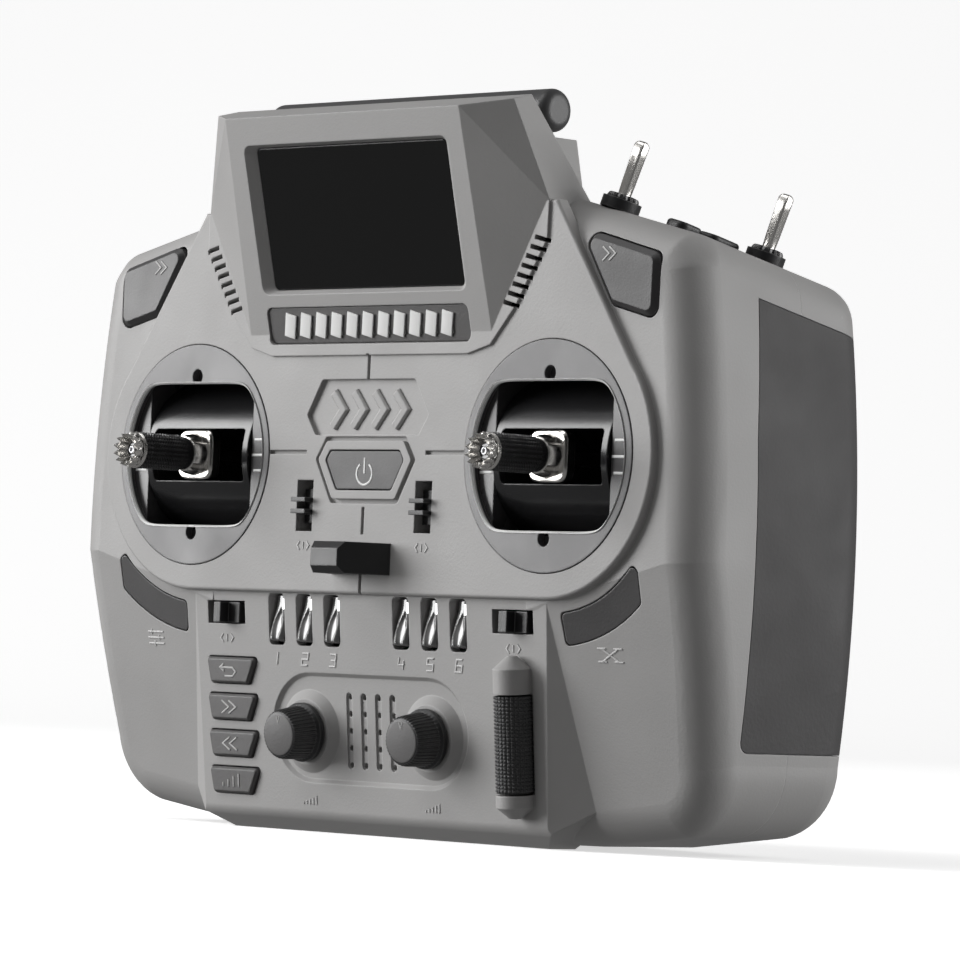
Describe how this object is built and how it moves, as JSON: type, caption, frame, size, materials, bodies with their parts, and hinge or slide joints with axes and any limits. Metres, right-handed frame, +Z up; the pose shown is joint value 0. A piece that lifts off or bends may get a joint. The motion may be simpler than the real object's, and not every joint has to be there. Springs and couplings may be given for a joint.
{
  "type": "radio transmitter controller",
  "caption": "Two-stick radio transmitter for models with display, trims, knobs, toggles, keys, roller and folding antenna bar.",
  "frame": {"origin": "middle of the whole controller's footprint, on the plane of its flat underside", "axes": "+Z up through the display, +X to the pilot's right along the longest side, +Y away from the pilot, the face looking along -Y"},
  "size_m": [0.198, 0.079, 0.1643],
  "materials": {
    "casing": "warm mid-grey moulded plastic, fine satin grain",
    "grip_rubber": "very dark grey rubber with a fine grain",
    "key_plastic": "dark grey keys, satin",
    "function_key": "smoky half-clear key caps over a lamp",
    "gimbal_cover": "dark grey satin with a white inlaid line",
    "gimbal_black": "polished black drum",
    "gimbal_dark": "dark inner frame",
    "stick_black": "black anodised knurled metal",
    "bright_metal": "polished bright metal",
    "lens": "black cover glass",
    "display": "display panel",
    "name_plate": "dark plate with pale raised bars",
    "hook": "black faceted plastic",
    "knob": "black knob with a grey satin cap",
    "roller": "black knurled roller",
    "switch_black": "black moulded switch body",
    "antenna": "dark grey antenna cover",
    "board": "green circuit board",
    "battery": "sleeved battery cells",
    "steel": "zinc-plated screw steel",
    "speaker_part": "loudspeaker capsule",
    "pot_part": "potentiometer cans"
  },
  "bodies": {
    "case": {"antenna_hinge": "casing", "battery_pack": "battery", "case_screws": "steel", "display_lens": "lens", "display_module": "display", "front_shell": "casing", "gimbal_frame_left": "gimbal_dark", "gimbal_frame_right": "gimbal_dark", "gimbal_plate_left": "gimbal_cover", "gimbal_plate_right": "gimbal_cover", "grip_pad_left": "grip_rubber", "grip_pad_right": "grip_rubber", "main_board": "board", "module_cover": "casing", "name_plate": "name_plate", "potentiometers": "pot_part", "rear_shell": "casing", "speaker": "speaker_part", "strap_hook": "hook", "toggle_bushings": "switch_black"},
    "gimbal_drum_left": {"gimbal_drum_left": "gimbal_black"},
    "stick_left": {"stick_left": "stick_black", "stick_nut_left": "bright_metal", "stick_tip_left": "bright_metal"},
    "gimbal_drum_right": {"gimbal_drum_right": "gimbal_black"},
    "stick_right": {"stick_right": "stick_black", "stick_nut_right": "bright_metal", "stick_tip_right": "bright_metal"},
    "power_button": {"power_button": "key_plastic"},
    "return_key": {"return_key": "key_plastic"},
    "page_next_key": {"page_next_key": "key_plastic"},
    "page_back_key": {"page_back_key": "key_plastic"},
    "telemetry_key": {"telemetry_key": "key_plastic"},
    "function_button_1": {"function_button_1": "function_key"},
    "function_button_2": {"function_button_2": "function_key"},
    "function_button_3": {"function_button_3": "function_key"},
    "function_button_4": {"function_button_4": "function_key"},
    "function_button_5": {"function_button_5": "function_key"},
    "function_button_6": {"function_button_6": "function_key"},
    "system_key": {"system_key": "key_plastic"},
    "model_key": {"model_key": "key_plastic"},
    "corner_button_left": {"corner_button_left": "key_plastic"},
    "corner_button_right": {"corner_button_right": "key_plastic"},
    "trim_t1": {"trim_t1": "switch_black"},
    "trim_t4": {"trim_t4": "switch_black"},
    "trim_t2": {"trim_t2": "switch_black"},
    "trim_t3": {"trim_t3": "switch_black"},
    "knob_left": {"knob_left": "knob"},
    "knob_right": {"knob_right": "knob"},
    "scroll_roller": {"scroll_roller": "roller"},
    "toggle_inner_left": {"toggle_inner_left": "bright_metal"},
    "toggle_outer_left": {"toggle_outer_left": "bright_metal"},
    "shoulder_button_front_left": {"shoulder_button_front_left": "switch_black"},
    "shoulder_button_rear_left": {"shoulder_button_rear_left": "switch_black"},
    "toggle_inner_right": {"toggle_inner_right": "bright_metal"},
    "toggle_outer_right": {"toggle_outer_right": "bright_metal"},
    "shoulder_button_front_right": {"shoulder_button_front_right": "switch_black"},
    "shoulder_button_rear_right": {"shoulder_button_rear_right": "switch_black"},
    "antenna_bar": {"antenna_bar": "antenna"},
    "battery_door": {"battery_door": "casing"}
  },
  "joints": [
    {"name": "stick_left_pitch", "type": "hinge", "parent": "case", "child": "gimbal_drum_left", "pos_m": [-0.0563, 0.00055, 0.084], "axis": [1, 0, 0], "range_deg": [-24, 24]},
    {"name": "stick_left_yaw", "type": "hinge", "parent": "gimbal_drum_left", "child": "stick_left", "pos_m": [-0.0563, 0.00055, 0.084], "axis": [0, 0, 1], "range_deg": [-24, 24], "stiffness_Nm_per_rad": 0.06},
    {"name": "stick_right_pitch", "type": "hinge", "parent": "case", "child": "gimbal_drum_right", "pos_m": [0.0563, 0.00055, 0.084], "axis": [1, 0, 0], "range_deg": [-24, 24], "stiffness_Nm_per_rad": 0.06},
    {"name": "stick_right_yaw", "type": "hinge", "parent": "gimbal_drum_right", "child": "stick_right", "pos_m": [0.0563, 0.00055, 0.084], "axis": [0, 0, 1], "range_deg": [-24, 24], "stiffness_Nm_per_rad": 0.06},
    {"name": "power_button_press", "type": "slide", "parent": "case", "child": "power_button", "axis": [0, 1, 0], "range_m": [0, 0.0008], "stiffness_N_per_m": 600},
    {"name": "return_key_press", "type": "slide", "parent": "case", "child": "return_key", "axis": [0, 0.9953, 0.0965], "range_m": [0, 0.0008], "stiffness_N_per_m": 600},
    {"name": "page_next_key_press", "type": "slide", "parent": "case", "child": "page_next_key", "axis": [0, 0.9953, 0.0965], "range_m": [0, 0.0008], "stiffness_N_per_m": 600},
    {"name": "page_back_key_press", "type": "slide", "parent": "case", "child": "page_back_key", "axis": [0, 0.9953, 0.0965], "range_m": [0, 0.0008], "stiffness_N_per_m": 600},
    {"name": "telemetry_key_press", "type": "slide", "parent": "case", "child": "telemetry_key", "axis": [0, 0.9953, 0.0965], "range_m": [0, 0.0008], "stiffness_N_per_m": 600},
    {"name": "function_button_1_press", "type": "slide", "parent": "case", "child": "function_button_1", "axis": [0, 0.9953, 0.0965], "range_m": [0, 0.0006], "stiffness_N_per_m": 600},
    {"name": "function_button_2_press", "type": "slide", "parent": "case", "child": "function_button_2", "axis": [0, 0.9953, 0.0965], "range_m": [0, 0.0006], "stiffness_N_per_m": 600},
    {"name": "function_button_3_press", "type": "slide", "parent": "case", "child": "function_button_3", "axis": [0, 0.9953, 0.0965], "range_m": [0, 0.0006], "stiffness_N_per_m": 600},
    {"name": "function_button_4_press", "type": "slide", "parent": "case", "child": "function_button_4", "axis": [0, 0.9953, 0.0965], "range_m": [0, 0.0006], "stiffness_N_per_m": 600},
    {"name": "function_button_5_press", "type": "slide", "parent": "case", "child": "function_button_5", "axis": [0, 0.9953, 0.0965], "range_m": [0, 0.0006], "stiffness_N_per_m": 600},
    {"name": "function_button_6_press", "type": "slide", "parent": "case", "child": "function_button_6", "axis": [0, 0.9953, 0.0965], "range_m": [0, 0.0006], "stiffness_N_per_m": 600},
    {"name": "system_key_press", "type": "slide", "parent": "case", "child": "system_key", "axis": [0, 1, 0], "range_m": [0, 0.0006], "stiffness_N_per_m": 600},
    {"name": "model_key_press", "type": "slide", "parent": "case", "child": "model_key", "axis": [0, 1, 0], "range_m": [0, 0.0006], "stiffness_N_per_m": 600},
    {"name": "corner_button_left_press", "type": "slide", "parent": "case", "child": "corner_button_left", "axis": [0, 1, 0], "range_m": [0, 0.001], "stiffness_N_per_m": 600},
    {"name": "corner_button_right_press", "type": "slide", "parent": "case", "child": "corner_button_right", "axis": [0, 1, 0], "range_m": [0, 0.001], "stiffness_N_per_m": 600},
    {"name": "trim_t1_slide", "type": "slide", "parent": "case", "child": "trim_t1", "axis": [1, 0, 0], "range_m": [-0.0015, 0.0015], "stiffness_N_per_m": 300},
    {"name": "trim_t4_slide", "type": "slide", "parent": "case", "child": "trim_t4", "axis": [1, 0, 0], "range_m": [-0.0015, 0.0015], "stiffness_N_per_m": 300},
    {"name": "trim_t2_slide", "type": "slide", "parent": "case", "child": "trim_t2", "axis": [0, 0, 1], "range_m": [-0.0015, 0.0015], "stiffness_N_per_m": 300},
    {"name": "trim_t3_slide", "type": "slide", "parent": "case", "child": "trim_t3", "axis": [0, 0, 1], "range_m": [-0.0015, 0.0015], "stiffness_N_per_m": 300},
    {"name": "knob_left_turn", "type": "hinge", "parent": "case", "child": "knob_left", "pos_m": [-0.0196, -0.01319, 0.02244], "axis": [0, -0.9953, -0.0965], "range_deg": [-140, 140]},
    {"name": "knob_right_turn", "type": "hinge", "parent": "case", "child": "knob_right", "pos_m": [0.0196, -0.01319, 0.02244], "axis": [0, -0.9953, -0.0965], "range_deg": [-140, 140]},
    {"name": "scroll_roller_turn", "type": "hinge", "parent": "case", "child": "scroll_roller", "pos_m": [0.047, -0.01506, 0.02206], "axis": [0, -0.0965, 0.9953], "continuous": true},
    {"name": "toggle_inner_left_flip", "type": "hinge", "parent": "case", "child": "toggle_inner_left", "pos_m": [-0.06097, -0.00444, 0.13653], "axis": [0.9724, 0, 0.2334], "range_deg": [-12, 12]},
    {"name": "toggle_outer_left_flip", "type": "hinge", "parent": "case", "child": "toggle_outer_left", "pos_m": [-0.08027, 0.02086, 0.12683], "axis": [0.9724, 0, 0.2334], "range_deg": [-12, 12]},
    {"name": "shoulder_button_front_left_press", "type": "slide", "parent": "case", "child": "shoulder_button_front_left", "axis": [0.2291, -0.1913, -0.9544], "range_m": [0, 0.0012], "stiffness_N_per_m": 600},
    {"name": "shoulder_button_rear_left_press", "type": "slide", "parent": "case", "child": "shoulder_button_rear_left", "axis": [0.2291, -0.1913, -0.9544], "range_m": [0, 0.0012], "stiffness_N_per_m": 600},
    {"name": "toggle_inner_right_flip", "type": "hinge", "parent": "case", "child": "toggle_inner_right", "pos_m": [0.06097, -0.00444, 0.13653], "axis": [0.9724, 0, -0.2334], "range_deg": [-12, 12]},
    {"name": "toggle_outer_right_flip", "type": "hinge", "parent": "case", "child": "toggle_outer_right", "pos_m": [0.08027, 0.02086, 0.12683], "axis": [0.9724, 0, -0.2334], "range_deg": [-12, 12]},
    {"name": "shoulder_button_front_right_press", "type": "slide", "parent": "case", "child": "shoulder_button_front_right", "axis": [-0.2291, -0.1913, -0.9544], "range_m": [0, 0.0012], "stiffness_N_per_m": 600},
    {"name": "shoulder_button_rear_right_press", "type": "slide", "parent": "case", "child": "shoulder_button_rear_right", "axis": [-0.2291, -0.1913, -0.9544], "range_m": [0, 0.0012], "stiffness_N_per_m": 600},
    {"name": "antenna_fold", "type": "hinge", "parent": "case", "child": "antenna_bar", "pos_m": [0, 0.00645, 0.1502], "axis": [1, 0, 0], "range_deg": [-85, 0]},
    {"name": "battery_door_open", "type": "hinge", "parent": "case", "child": "battery_door", "pos_m": [0, 0.03855, 0.017], "axis": [1, 0, 0], "range_deg": [-60, 0]}
  ]
}
